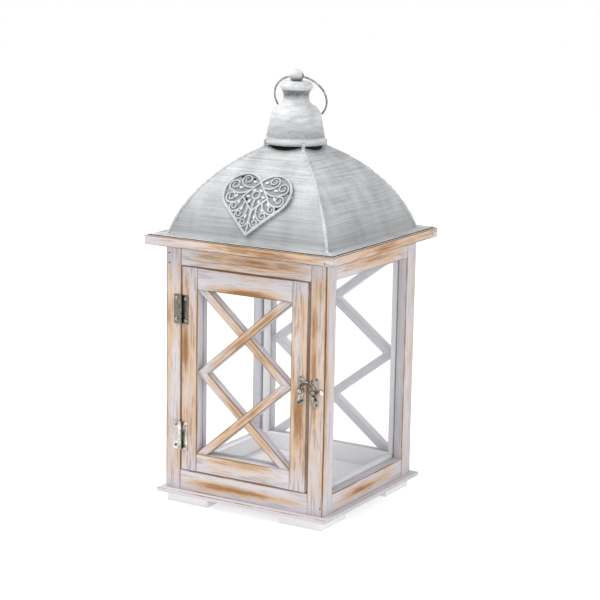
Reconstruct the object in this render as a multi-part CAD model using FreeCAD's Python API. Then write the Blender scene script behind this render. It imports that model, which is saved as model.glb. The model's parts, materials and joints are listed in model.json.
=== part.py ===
import FreeCAD, Part
import math
import os

# Candle lantern: whitewashed wooden case with four framed faces, a hinged front door with a
# lattice over its pane, a curved four-sided sheet-metal roof and a bell-shaped chimney cap.
# Millimetres, +Z up, front face towards -Y, origin under the middle of the four feet.

# Case
body_width = 190.0
case_height = 259.7
frame_depth = 10.0
front_stile = 18.0
front_bottom_rail = 21.5
front_top_rail = 20.6
side_stile = 19.7
side_bottom_rail = 19.6
side_top_rail = 19.9

# Base
foot_size = 50.0
foot_height = 11.0
foot_inset = 8.5
base_overhang = 7.2
base_thickness = 4.2
floor_thickness = 4.8

# Panes and the beads that hold them
pane_thickness = 2.0
pane_edge_gap = 0.3
pane_head_gap = 2.0
bead_size = 6.0
rail_bead_height = 18.0

# Lattice bars
lattice_bar = 9.0
lattice_depth = 9.5
lattice_flat = 1.0
lattice_settling = 8

# Eave frame under the roof
eave_overhang = 16.4
eave_thickness = 9.7
eave_width = 30.4

# Door
door_gap_hinge = 1.0
door_gap_latch = 2.5
door_gap_bottom = 1.0
door_gap_top = 1.0
door_stile = 19.0
door_bottom_rail = 19.5
door_top_rail = 22.3
door_front_depth = 11.0
door_rebate = 6.5
lattice_recess = 1.5

# Butt hinges on the front face
hinge_height = 30.5
hinge_leaf_width = 8.7
hinge_leaf_thickness = 0.9
hinge_knuckle_radius = 2.0
hinge_knuckle_count = 3
hinge_knuckle_gap = 0.3
hinge_pin_radius = 1.0
hinge_pin_clearance = 0.05
hinge_wood_clearance = 0.2
upper_hinge_drop = 29.5
lower_hinge_rise = 21.3

# Hook latch
latch_rise = 105.7
latch_plate_thickness = 1.2
latch_lobe_radius = 4.4
latch_lobe_spread = 10.8
latch_waist = 6.4
latch_boss_radius = 5.0
latch_plate_inset = 6.5
strike_plate_inset = 7.0
pivot_radius = 1.5
pivot_clearance = 0.05
pivot_head_radius = 2.8
pivot_head_thickness = 0.8
hook_thickness = 2.0
hook_side_clearance = 0.25
hook_bar = 3.4
hook_eye_radius = 4.0
hook_rise = 8.5
hook_saddle_radius = 4.6
hook_nose_length = 9.6
hook_tip_radius = 2.6
stud_radius = 1.6
stud_clearance = 0.4
stud_length = 2.9

# Sheet-metal roof
sheet = 1.0
roof_edge_inset = 4.2
roof_flange = 12.9
roof_rise = 91.4
roof_arc_radius = 147.4
vent_half = 17.0

# Bell-shaped chimney cap
cap_wall = 1.1
cap_vent_gap = 2.7
cap_lip_radius = 32.4
cap_lip_height = 2.9
cap_lip_round = 0.45
cap_skirt_radius = 30.3
cap_flare_height = 8.6
cap_flare_bow = 0.3
cap_shoulder_radius = 27.0
cap_shoulder_height = 26.0
cap_shoulder_bow = 2.7
cap_collar_radius = 16.7
cap_collar_height = 40.4
cap_collar_bow = 0.8
cap_neck_radius = 13.4
cap_neck_low = 46.6
cap_neck_high = 50.4
cap_crown_radius = 17.6
cap_crown_low = 55.0
cap_crown_mid = 59.2
cap_crown_bow = 0.6
cap_height = 64.0
cap_tab_width = 3.2
cap_tab_reach = 1.2
cap_tab_overlap = 4.0

# Knob and carrying ring
knob_radius = 7.4
knob_sink = 2.1
knob_shank_radius = 2.5
knob_shank_clearance = 0.1
knob_rivet_radius = 4.6
knob_rivet_height = 1.4
ring_radius = 28.0
ring_wire_radius = 1.0
ring_hole_clearance = 0.4
ring_turn = 12.9
ring_rest_clearance = 0.3

# Filigree heart on the front of the roof
heart_width = 80.0
heart_height = 69.5
heart_lobe_radius = 22.95
heart_rim = 2.4
heart_thickness = 2.0
heart_standoff = 1.6
heart_tip_rise = 6.0
heart_scroll_bar = 1.6
heart_pin_radius = 1.6
scroll_swing = 0.3
scroll_tightening = 0.66
scroll_taper = 0.45
scroll_half_turns = 3

# Steps in which turned pieces and scrolls are made
turned_sides = 30
turned_arc_step = 4.5
knob_sides = 20
knob_rows = 7
small_ball_sides = 12
small_ball_rows = 6
ring_sides = 36
ring_wire_sides = 6
ring_lean_step = 0.01
scroll_stem_steps = 4
scroll_half_turn_steps = 5
heart_lobe_steps = 20
heart_bend_steps = 14

# Levels and half-widths that follow from these sizes
half = body_width / 2
inner = half - frame_depth
pane_inner = inner - pane_thickness
bead_inner = pane_inner - bead_size
base_half = half + base_overhang
eave_half = half + eave_overhang
case_z = foot_height + base_thickness
floor_z = case_z + floor_thickness
eave_z = case_z + case_height
roof_z = eave_z + eave_thickness
roof_half = eave_half - roof_edge_inset - roof_flange
front_face = -half
front_open = half - front_stile
front_open_low = case_z + front_bottom_rail
front_open_high = eave_z - front_top_rail
side_open = half - side_stile

os.makedirs("parts", exist_ok=True)


# Building helpers

def vec(x, y, z=0.0):
    return FreeCAD.Vector(x, y, z)


def block(x0, x1, y0, y1, z0, z1):
    """Box between two corners."""
    return Part.makeBox(x1 - x0, y1 - y0, z1 - z0, vec(x0, y0, z0))


def prism(outline, z0, z1):
    """Straight-sided solid from a closed outline of (x, y) corners."""
    wire = Part.makePolygon([vec(x, y, z0) for x, y in outline + outline[:1]])
    return Part.Face(wire).extrude(vec(0, 0, z1 - z0))


def rod(radius, base, direction, length):
    return Part.makeCylinder(radius, length, base, direction)


def quarter_turned(shape, quarters):
    """Copy of a front piece carried round to another face of the lantern."""
    copy = shape.copy()
    copy.rotate(vec(0, 0), vec(0, 0, 1), 90 * quarters)
    return copy


def front_wedge(reach, z0, z1):
    """The quarter of the plan that belongs to the front, for cutting mitres."""
    return prism([(0, 0), (-reach, -reach), (reach, -reach)], z0, z1)


def turned(profile, sides):
    """Turned solid in narrow flats, from a closed loop of (radius, height) points."""
    def corner(point, step):
        angle = 2 * math.pi * step / sides
        return vec(point[0] * math.cos(angle), point[0] * math.sin(angle), point[1])

    faces = []
    for step in range(sides):
        for a, b in zip(profile, profile[1:] + profile[:1]):
            loop = [corner(a, step), corner(a, step + 1), corner(b, step + 1), corner(b, step)]
            loop = [point for index, point in enumerate(loop) if not point.isEqual(loop[index - 1], 1e-6)]
            if len(loop) > 2:
                faces.append(Part.Face(Part.makePolygon(loop + loop[:1])))
    solid = Part.Solid(Part.Shell(faces))
    if solid.Volume < 0:
        solid.reverse()
    return solid.removeSplitter()


def round_points(radius, start, end, steps):
    """Points (across, up) along an arc about (0, 0); angles from the horizontal."""
    angles = [start + (end - start) * step / steps for step in range(steps + 1)]
    return [(radius * math.cos(angle), radius * math.sin(angle)) for angle in angles]


def save(node, *solids):
    shape = solids[0] if len(solids) == 1 else Part.makeCompound(list(solids))
    shape.exportStep("parts/" + node + ".step")


# Face frames, mitred to each other at the corners of the case

FACES = {
    "front": (0, "left", "right"),
    "right": (1, "front", "back"),
    "back": (2, "right", "left"),
    "left": (3, "back", "front"),
}


def face_frame(opening, low, high, quarters):
    """Two full-height stiles and the two rails between them."""
    depth_y = front_face + frame_depth
    stile_plan = [(-half, front_face), (-opening, front_face), (-opening, depth_y), (-inner, depth_y)]
    stiles = [prism(stile_plan, case_z, eave_z)]
    stiles.append(prism([(-x, y) for x, y in stile_plan], case_z, eave_z))
    bottom = block(-opening, opening, front_face, depth_y, case_z, low)
    top = block(-opening, opening, front_face, depth_y, high, eave_z)
    return [quarter_turned(piece, quarters) for piece in stiles + [bottom, top]]


def case_frames():
    """All sixteen frame members, by node name."""
    members = {}
    for face, (quarters, first, second) in FACES.items():
        if face in ("front", "back"):
            pieces = face_frame(front_open, front_open_low, front_open_high, quarters)
        else:
            low = case_z + side_bottom_rail
            high = eave_z - side_top_rail
            pieces = face_frame(side_open, low, high, quarters)
        ends = [first + "_stile", second + "_stile", "bottom_rail", "top_rail"]
        for end, piece in zip(ends, pieces):
            members[face + "_" + end] = piece
    return members


# Base, floor and eaves

def feet():
    near = base_half - foot_inset - foot_size
    foot = block(near, near + foot_size, -near - foot_size, -near, 0, foot_height)
    names = ["foot_front_right", "foot_back_right", "foot_back_left", "foot_front_left"]
    return {name: quarter_turned(foot, turn) for turn, name in enumerate(names)}


def eave_strip(quarters):
    strip = block(-eave_half, eave_half, -eave_half, eave_width - eave_half, eave_z, roof_z)
    return quarter_turned(strip.common(front_wedge(eave_half, eave_z, roof_z)), quarters)


# Panes and glazing beads

def side_pane(quarters):
    """Pane behind a side frame, standing on the floor board."""
    edge = inner - pane_edge_gap
    return quarter_turned(
        block(-edge, edge, -inner, -pane_inner, floor_z, eave_z - pane_head_gap), quarters)


def back_pane():
    edge = pane_inner - pane_edge_gap
    return block(-edge, edge, pane_inner, inner, floor_z, eave_z - pane_head_gap)


def rail_beads(quarters, first, last):
    """Bottom and top beads of one face, lying between its upright beads."""
    beads = []
    for low in (floor_z, eave_z - rail_bead_height):
        bead = block(first, last, -pane_inner, -bead_inner, low, low + rail_bead_height)
        beads.append(quarter_turned(bead, quarters))
    return beads


def upright_bead(x, y):
    return block(x, x + bead_size, y, y + bead_size, floor_z, eave_z)


def glazing_beads():
    """Beads of the three fixed panes: a back corner bead holds two panes at once."""
    front_y = -inner
    front_bead_end = front_y + bead_size
    return {
        "left_glazing_beads": [upright_bead(-pane_inner, front_y)]
        + rail_beads(3, -bead_inner, -front_bead_end),
        "right_glazing_beads": [upright_bead(bead_inner, front_y)]
        + rail_beads(1, front_bead_end, bead_inner),
        "back_glazing_beads": [upright_bead(-pane_inner, bead_inner), upright_bead(bead_inner, bead_inner)]
        + rail_beads(2, -bead_inner, bead_inner),
    }


# Lattice of two stacked crosses, half-lapped where the bars cross

def lattice(left, right, low, high, front, quarters):
    """Rising and falling bars that fill an opening; returns two lists of solids."""
    centre = (left + right) / 2
    half_high = (high - low) / 4
    rising, falling = [], []
    run = (right - left) / 2
    for _ in range(lattice_settling):
        slope = math.atan2(half_high, run)
        run = (right - left) / 2 + lattice_flat - lattice_bar / 2 / math.sin(slope)
    length = 2 * (math.hypot(run, half_high) + lattice_bar)
    for mid in (low + half_high, high - half_high):
        cell = block(left, right, front, front + lattice_depth, mid - half_high, mid + half_high)
        bars = []
        for sign in (1, -1):
            bar = block(-length / 2, length / 2, 0, lattice_depth, -lattice_bar / 2, lattice_bar / 2)
            bar.rotate(vec(0, 0), vec(0, 1, 0), -sign * math.degrees(slope))
            bar.translate(vec(centre, front, mid))
            bars.append(bar.common(cell))
        lap = bars[0].common(bars[1])
        half_depth = front + lattice_depth / 2
        front_lap = lap.common(block(left, right, front, half_depth, low, high))
        back_lap = lap.cut(front_lap)
        rising.append(bars[0].cut(back_lap))
        falling.append(bars[1].cut(front_lap))
    return [[quarter_turned(solid, quarters) for solid in bars] for bars in (rising, falling)]


# Door

door_left = -front_open + door_gap_hinge
door_right = front_open - door_gap_latch
door_low = front_open_low + door_gap_bottom
door_high = front_open_high - door_gap_top
door_open_left = door_left + door_stile
door_open_right = door_right - door_stile
door_open_low = door_low + door_bottom_rail
door_open_high = door_high - door_top_rail
door_glass_y = front_face + door_front_depth
door_bead_y = door_glass_y + pane_thickness
door_back_y = door_bead_y + bead_size


def door_members():
    """Door stiles and rails with a rebate at the back for the pane and its beads."""
    r = door_rebate
    rebate = block(door_open_left - r, door_open_right + r, door_glass_y, door_back_y,
                   door_open_low - r, door_open_high + r)
    y = (front_face, door_back_y)
    members = {
        "door_left_stile": block(door_left, door_open_left, *y, door_low, door_high),
        "door_right_stile": block(door_open_right, door_right, *y, door_low, door_high),
        "door_bottom_rail": block(door_open_left, door_open_right, *y, door_low, door_open_low),
        "door_top_rail": block(door_open_left, door_open_right, *y, door_open_high, door_high),
    }
    return {name: piece.cut(rebate) for name, piece in members.items()}


def door_pane():
    edge = door_rebate - pane_edge_gap
    return block(door_open_left - edge, door_open_right + edge, door_glass_y, door_bead_y,
                 door_open_low - edge, door_open_high + edge)


def door_beads():
    """Four beads in the rebate, flush with the sight line."""
    outer_left = door_open_left - door_rebate
    outer_right = door_open_right + door_rebate
    y = (door_bead_y, door_back_y)
    return [
        block(outer_left, door_open_left, *y, door_open_low - door_rebate, door_open_high + door_rebate),
        block(door_open_right, outer_right, *y, door_open_low - door_rebate, door_open_high + door_rebate),
        block(door_open_left, door_open_right, *y, door_open_low - door_rebate, door_open_low),
        block(door_open_left, door_open_right, *y, door_open_high, door_open_high + door_rebate),
    ]


# Hinges

hinge_x = (door_left - front_open) / 2
hinge_y = front_face - hinge_wood_clearance - hinge_knuckle_radius
hinge_levels = [door_low + lower_hinge_rise, door_high - upper_hinge_drop - hinge_height]


def hinge_leaf(low, side):
    """One leaf with its knuckles; side is -1 on the case and +1 on the door."""
    pitch = hinge_height / hinge_knuckle_count
    outer_x = hinge_x + side * hinge_leaf_width
    face_y = front_face - hinge_leaf_thickness
    leaf = block(min(hinge_x, outer_x), max(hinge_x, outer_x), face_y, front_face, low, low + hinge_height)
    first = 0 if side < 0 else 1
    for index in range(hinge_knuckle_count):
        knuckle_low = low + index * pitch
        axis_foot = vec(hinge_x, hinge_y, knuckle_low)
        if index % 2 == first:
            trim = hinge_knuckle_gap / 2
            foot = vec(hinge_x, hinge_y, knuckle_low + trim)
            leaf = leaf.fuse(rod(hinge_knuckle_radius, foot, vec(0, 0, 1), pitch - 2 * trim))
        else:
            room = hinge_knuckle_radius + hinge_knuckle_gap
            leaf = leaf.cut(rod(room, axis_foot, vec(0, 0, 1), pitch))
    bore = hinge_pin_radius + (hinge_pin_clearance if side > 0 else 0)
    return leaf.cut(rod(bore, vec(hinge_x, hinge_y, low), vec(0, 0, 1), hinge_height)).removeSplitter()


def hinge_pin(low):
    return rod(hinge_pin_radius, vec(hinge_x, hinge_y, low), vec(0, 0, 1), hinge_height)


# Latch

latch_z = door_low + latch_rise
latch_x = door_right - latch_plate_inset
strike_x = front_open + strike_plate_inset
latch_face_y = front_face - latch_plate_thickness
hook_back_y = latch_face_y - hook_side_clearance
hook_front_y = hook_back_y - hook_thickness


def disc(x, z, radius, y0, y1):
    return rod(radius, vec(x, y0, z), vec(0, 1, 0), y1 - y0)


def lobed_plate(x):
    """Small plate with a round lobe at each end and a round boss in the middle."""
    y = (latch_face_y, front_face)
    plate = block(x - latch_waist / 2, x + latch_waist / 2, *y,
                  latch_z - latch_lobe_spread, latch_z + latch_lobe_spread)
    for offset, radius in ((-latch_lobe_spread, latch_lobe_radius), (0, latch_boss_radius),
                           (latch_lobe_spread, latch_lobe_radius)):
        plate = plate.fuse(disc(x, latch_z + offset, radius, *y))
    return plate.removeSplitter()


def latch_plate():
    """Door plate with the riveted post that the hook turns on."""
    head_back_y = hook_front_y - hook_side_clearance
    post = disc(latch_x, latch_z, pivot_radius, head_back_y, latch_face_y)
    head = disc(latch_x, latch_z, pivot_head_radius, head_back_y - pivot_head_thickness, head_back_y)
    return lobed_plate(latch_x).fuse(post).fuse(head).removeSplitter()


def strike_plate():
    stud = disc(strike_x, latch_z, stud_radius, latch_face_y - stud_length, latch_face_y)
    return lobed_plate(strike_x).fuse(stud).removeSplitter()


def latch_hook():
    """Arched hook: an eye on the post, a saddle over the stud and a nose with a ball to lift it by."""
    y = (hook_front_y, hook_back_y)
    span = strike_x - latch_x
    arch_radius = (span * span / 4 + hook_rise * hook_rise) / (2 * hook_rise)
    arch_x = (latch_x + strike_x) / 2
    arch_z = latch_z + hook_rise - arch_radius
    arch = disc(arch_x, arch_z, arch_radius + hook_bar / 2, *y)
    arch = arch.cut(disc(arch_x, arch_z, arch_radius - hook_bar / 2, *y))
    arch = arch.common(block(latch_x, strike_x, *y, latch_z, latch_z + hook_rise + hook_bar))
    nose_x = strike_x + hook_nose_length
    nose = block(strike_x, nose_x, *y, latch_z, latch_z + hook_bar)
    hook = arch.fuse([disc(latch_x, latch_z, hook_eye_radius, *y),
                      disc(strike_x, latch_z, hook_saddle_radius, *y), nose])
    tip = turned(round_points(hook_tip_radius, -math.pi / 2, math.pi / 2, small_ball_rows), small_ball_sides)
    tip.translate(vec(nose_x, hook_back_y - hook_tip_radius, latch_z + hook_bar / 2))
    mouth = stud_radius + stud_clearance
    path = disc(latch_x, latch_z, span + mouth, *y).cut(disc(latch_x, latch_z, span - mouth, *y))
    path = path.common(block(arch_x, nose_x, *y, latch_z - span, latch_z))
    hook = hook.fuse(tip).cut(path).cut(disc(strike_x, latch_z, mouth, *y))
    return hook.cut(disc(latch_x, latch_z, pivot_radius + pivot_clearance, *y)).removeSplitter()


# Roof: one arc in section, so each panel is part of a cylinder

roof_base_z = roof_z + sheet
roof_top_z = roof_base_z + roof_rise


def arc_centre():
    """Centre of the roof's arc, as (distance from the axis, height)."""
    across = roof_half - vent_half
    chord = math.hypot(across, roof_rise)
    back = math.sqrt(roof_arc_radius ** 2 - chord ** 2 / 4)
    mid = ((roof_half + vent_half) / 2, (roof_base_z + roof_top_z) / 2)
    return mid[0] - back * roof_rise / chord, mid[1] - back * across / chord


arc_s, arc_z = arc_centre()


def roof_height(s):
    """Height of the roof's outer face at a distance s from the axis."""
    return arc_z + math.sqrt(roof_arc_radius ** 2 - (s - arc_s) ** 2)


def roof_span(z, radius):
    """Distance from the axis of an arc of that radius, at height z."""
    return arc_s + math.sqrt(radius ** 2 - (z - arc_z) ** 2)


def roof_arc(radius, z0, z1):
    """Edge along the front of the roof between two heights, in the plane x = 0."""
    points = [vec(0, -roof_span(z, radius), z) for z in (z0, (z0 + z1) / 2, z1)]
    return Part.Arc(*points).toShape()


def front_section(edges, reach):
    """Extrude a section drawn at x = 0 across the front and mitre its ends."""
    face = Part.Face(Part.Wire(Part.__sortEdges__(edges)))
    face.translate(vec(-reach, 0, 0))
    solid = face.extrude(vec(2 * reach, 0, 0))
    return solid.common(front_wedge(reach, roof_z, roof_top_z + cap_height))


def straight_edges(points):
    return [Part.makeLine(vec(0, *a), vec(0, *b)) for a, b in zip(points, points[1:])]


def roof_panel():
    """Front panel with its flat flange on the eave."""
    inside = roof_arc_radius - sheet
    inside_top_z = arc_z + math.sqrt(inside ** 2 - (vent_half - arc_s) ** 2)
    flange = -roof_half - roof_flange
    outline = [(-roof_half, roof_base_z), (flange, roof_base_z), (flange, roof_z),
               (-roof_span(roof_z, inside), roof_z)]
    edges = straight_edges(outline)
    edges += [roof_arc(inside, roof_z, inside_top_z), roof_arc(roof_arc_radius, roof_base_z, roof_top_z)]
    edges += straight_edges([(-vent_half, inside_top_z), (-vent_half, roof_top_z)])
    return front_section(edges, roof_half + roof_flange)


def roof_filled():
    """Space under the front of the roof, for trimming what stands on it."""
    outline = [(-vent_half, roof_top_z), (0, roof_top_z), (0, roof_base_z), (-roof_half, roof_base_z)]
    edges = straight_edges(outline) + [roof_arc(roof_arc_radius, roof_base_z, roof_top_z)]
    return front_section(edges, roof_half)


# Chimney cap

cap_z = roof_height(cap_lip_radius / math.sqrt(2)) + cap_vent_gap
cap_top_z = cap_z + cap_height


def cap_side():
    """Outer face of the cap from lip to top, as points (radius, height above the lip)."""
    marks = [
        (cap_lip_radius - cap_lip_round, 0, cap_lip_round),
        (cap_lip_radius - cap_lip_round, cap_lip_height, -cap_flare_bow),
        (cap_skirt_radius, cap_flare_height, 0),
        (cap_shoulder_radius, cap_shoulder_height, cap_shoulder_bow),
        (cap_collar_radius, cap_collar_height, -cap_collar_bow),
        (cap_neck_radius, cap_neck_low, 0),
        (cap_neck_radius, cap_neck_high, -cap_flare_bow),
        ((cap_neck_radius + cap_crown_radius) / 2, cap_crown_low, cap_crown_bow),
        (cap_crown_radius, cap_crown_mid, cap_crown_bow),
        (cap_neck_radius, cap_height, 0),
    ]
    points = []
    for (r0, h0, bow), (r1, h1, _) in zip(marks, marks[1:]):
        start, end = vec(r0, h0), vec(r1, h1)
        if bow:
            side = vec(h1 - h0, r0 - r1).normalize()
            arc = Part.Arc(start, (start + end) * 0.5 + side * bow, end).toShape()
            steps = max(2, round(arc.Length / turned_arc_step))
            points += arc.discretize(steps + 1)[:-1]
        else:
            points.append(start)
    return points + [vec(cap_neck_radius, cap_height)]


def drawn_in(points, depth):
    """Points of an upward line moved towards the axis, square to the line."""
    moved = []
    for before, here, after in zip(points[:1] + points, points, points[1:] + points[-1:]):
        along = after - before
        moved.append(here + vec(-along.y, along.x).normalize() * depth)
    return moved


def cap_body(inside):
    """Turned body between the cap's outer face and a closed line inside it."""
    loop = [(point.x, cap_z + point.y) for point in cap_side() + inside]
    return turned(loop, turned_sides)


def chimney_cap():
    """Spun shell, open underneath, with a hole for the knob's shank."""
    hole = knob_shank_radius + knob_shank_clearance
    rim = [vec(hole, cap_height), vec(hole, cap_height - cap_wall)]
    return cap_body(rim + drawn_in(cap_side(), cap_wall)[::-1])


def cap_tabs():
    """Four straps that carry the cap on the roof's ridges."""
    cap_filled = cap_body([vec(0, cap_height), vec(0, 0)])
    under_roof = [quarter_turned(roof_filled(), turn) for turn in range(4)]
    reach = cap_lip_radius + cap_tab_reach
    tab = block(cap_skirt_radius, reach, -cap_tab_width / 2, cap_tab_width / 2,
                roof_base_z, cap_z + cap_tab_overlap)
    tab.rotate(vec(0, 0), vec(0, 0, 1), 45)
    tabs = []
    for turn in range(4):
        strap = quarter_turned(tab, turn).cut(cap_filled)
        for wedge in under_roof:
            strap = strap.cut(wedge)
        tabs.append(max(strap.Solids, key=lambda solid: solid.Volume))
    return tabs


# Knob and carrying ring

knob_z = cap_top_z + knob_radius - knob_sink
ring_axis = vec(math.cos(math.radians(ring_turn)), math.sin(math.radians(ring_turn)))
ring_back = vec(-ring_axis.y, ring_axis.x)


def knob():
    """Ball with a cross hole for the ring, riveted through the top of the cap."""
    flat = -math.asin(1 - knob_sink / knob_radius)
    ball = round_points(knob_radius, flat, math.pi / 2, knob_rows)
    inside = -(knob_radius - knob_sink) - cap_wall
    shank = [(0, inside - knob_rivet_height), (knob_rivet_radius, inside - knob_rivet_height),
             (knob_rivet_radius, inside), (knob_shank_radius, inside), (knob_shank_radius, ball[0][1])]
    loop = [(across, knob_z + up) for across, up in shank + ball]
    bow = knob_radius ** 2 / (2 * ring_radius)
    bore = ring_wire_radius + bow + ring_hole_clearance
    start = vec(0, 0, knob_z) - ring_axis * (2 * knob_radius)
    return turned(loop, knob_sides).cut(rod(bore, start, ring_axis, 4 * knob_radius))


def ring_away(lean):
    """Direction from the knob's hole to the ring's centre; lean is its slope below level, backwards."""
    angle = math.radians(lean)
    return ring_back * math.cos(angle) - vec(0, 0, 1) * math.sin(angle)


def ring_gap(lean):
    """Distance from the leaning ring to the cap, both seen as distance from the axis and height."""
    away = ring_away(lean)
    wire_line = []
    for step in range(ring_sides + 1):
        angle = 2 * math.pi * step / ring_sides
        point = away * (ring_radius * (1 - math.cos(angle))) + ring_axis * (ring_radius * math.sin(angle))
        wire_line.append(vec(math.hypot(point.x, point.y), knob_z - cap_z + point.z))
    return Part.makePolygon(wire_line).distToShape(Part.makePolygon(cap_side()))[0] - ring_wire_radius


def carry_ring():
    """Ring at rest: dropped back until it all but lies against the cap."""
    clear, touching = 0.0, 90.0
    while touching - clear > ring_lean_step:
        lean = (clear + touching) / 2
        if ring_gap(lean) > ring_rest_clearance:
            clear = lean
        else:
            touching = lean
    wire = round_points(ring_wire_radius, 0, 2 * math.pi, ring_wire_sides)[:-1]
    ring = turned([(ring_radius + across, up) for across, up in wire], ring_sides)
    away = ring_away(clear)
    turn = FreeCAD.Rotation(ring_axis, away, ring_axis.cross(away), "XYZ")
    ring.Placement = FreeCAD.Placement(vec(0, 0, knob_z) + away * ring_radius, turn)
    return ring


# Filigree heart, drawn flat with its tip at (0, 0) and then curved to the roof

heart_lobe_x = heart_width / 2 - heart_lobe_radius
heart_lobe_y = heart_height - heart_lobe_radius
heart_point = math.atan2(heart_lobe_x, heart_lobe_y) + math.asin(
    heart_lobe_radius / math.hypot(heart_lobe_x, heart_lobe_y))
heart_sagitta = heart_height ** 2 / (8 * roof_arc_radius)
heart_depth = 2 * (2 * heart_sagitta + heart_standoff + heart_thickness)

# Places of the scrolls on the right half, as shares of the heart's half width and height:
# where the stem leaves the middle frame, the eye of the scroll and its radius.
SCROLLS = [
    ((0.12, 0.765), (0.41, 0.862), 0.140),
    ((0.18, 0.715), (0.715, 0.760), 0.150),
    ((0.35, 0.590), (0.70, 0.562), 0.140),
    ((0.25, 0.520), (0.54, 0.417), 0.120),
    ((0.14, 0.455), (0.335, 0.304), 0.110),
    ((0.03, 0.380), (0.155, 0.196), 0.096),
]
FRAME_TOP = 0.848
FRAME_SIDE = (0.362, 0.590)
FRAME_FOOT = 0.380
FRAME_EYE = (0.635, 0.105)


def deep(outline):
    """Flat pattern piece made deep enough to be trimmed to the curve of the roof."""
    face = Part.Face(outline)
    face.translate(vec(0, 0, -heart_depth / 2))
    return face.extrude(vec(0, 0, heart_depth))


def round_piece(centre, radius):
    return deep(Part.Wire(Part.makeCircle(radius, centre)))


def on_circle(centre, radius, angle):
    return vec(centre[0] + radius * math.cos(angle), centre[1] + radius * math.sin(angle))


def heart_outline(inset):
    """Heart drawn in by inset: two lobes and two straight sides to the tip."""
    radius = heart_lobe_radius - inset
    cleft = math.pi - math.acos(heart_lobe_x / radius)
    lobe = round_points(radius, -heart_point, cleft, heart_lobe_steps)
    right = [vec(heart_lobe_x + across, heart_lobe_y + up) for across, up in lobe]
    left = [vec(-point.x, point.y) for point in right[-2::-1]]
    tip = vec(0, inset / math.sin(heart_point))
    return Part.makePolygon([tip] + right + left + [tip])


def bar_between(a, b):
    """Straight bar of the pattern with square ends that run past its end points."""
    along = (b - a).normalize() * (heart_scroll_bar / 2)
    side = vec(-along.y, along.x)
    corners = [a - along + side, b + along + side, b + along - side, a - along - side]
    return deep(Part.makePolygon(corners + corners[:1]))


def scroll(root, eye, radius, hand):
    """Bar that swings from root round the eye and winds in by half turns, in short straight steps."""
    gap = math.dist(root, eye)
    sweep = (gap + radius) / 2 + scroll_swing * gap
    reach = sweep - radius
    bend = math.acos((gap ** 2 + reach ** 2 - sweep ** 2) / (2 * gap * reach))
    toward = math.atan2(root[1] - eye[1], root[0] - eye[0]) + hand * bend
    swing = (eye[0] + reach * math.cos(toward), eye[1] + reach * math.sin(toward))
    start = math.atan2(root[1] - swing[1], root[0] - swing[0])
    angle = math.atan2(eye[1] - swing[1], eye[0] - swing[0])
    arcs = [(swing, sweep, start, (angle - start) * -hand % (2 * math.pi), scroll_stem_steps)]
    centre = eye
    for _ in range(scroll_half_turns):
        arcs.append((centre, radius, angle, math.pi, scroll_half_turn_steps))
        angle -= hand * math.pi
        shift = radius * (1 - scroll_tightening)
        centre = (centre[0] + shift * math.cos(angle), centre[1] + shift * math.sin(angle))
        radius *= scroll_tightening
    path = [(centre, radius, start - hand * turn * step / steps)
            for centre, radius, start, turn, steps in arcs for step in range(steps)]
    outer, inner = [], []
    for index, (centre, radius, at) in enumerate(path):
        half_bar = heart_scroll_bar / 2 * (1 - scroll_taper * index / len(path))
        outer.append(on_circle(centre, radius + half_bar, at))
        inner.append(on_circle(centre, radius - half_bar, at))
    outline = outer + inner[::-1]
    return deep(Part.makePolygon(outline + outline[:1]))


def heart_pattern():
    """Rim, middle frame, small ring and scrolls of the flat pattern, as one solid."""
    wide, tall = heart_width / 2, heart_height
    rim = deep(heart_outline(0)).cut(deep(heart_outline(heart_rim)))
    top, foot = vec(0, FRAME_TOP * tall), vec(0, FRAME_FOOT * tall)
    eye, eye_radius = vec(0, FRAME_EYE[0] * tall), FRAME_EYE[1] * wide
    ring = round_piece(eye, eye_radius + heart_scroll_bar / 2)
    ring = ring.cut(round_piece(eye, eye_radius - heart_scroll_bar / 2))
    pieces = [ring, bar_between(foot, vec(0, heart_rim)), bar_between(foot, eye - vec(0, eye_radius))]
    for side in (1, -1):
        corner = vec(side * FRAME_SIDE[0] * wide, FRAME_SIDE[1] * tall)
        pieces += [bar_between(top, corner), bar_between(corner, foot)]
        for root, centre, radius in SCROLLS:
            pieces.append(scroll((side * root[0] * wide, root[1] * tall),
                                 (side * centre[0] * wide, centre[1] * tall), radius * wide, -side))
    return rim.multiFuse(pieces)


def roof_band(mid_angle, inner_radius, outer_radius):
    """Band round the middle of the front panel, bent to its curve in narrow flats."""
    reach = heart_height / inner_radius
    inner, outer = [round_points(radius, mid_angle - reach, mid_angle + reach, heart_bend_steps)
                    for radius in (inner_radius, outer_radius)]
    corners = [vec(-heart_width, -arc_s - across, arc_z + up) for across, up in outer + inner[::-1]]
    return Part.Face(Part.makePolygon(corners + corners[:1])).extrude(vec(2 * heart_width, 0, 0))


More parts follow.
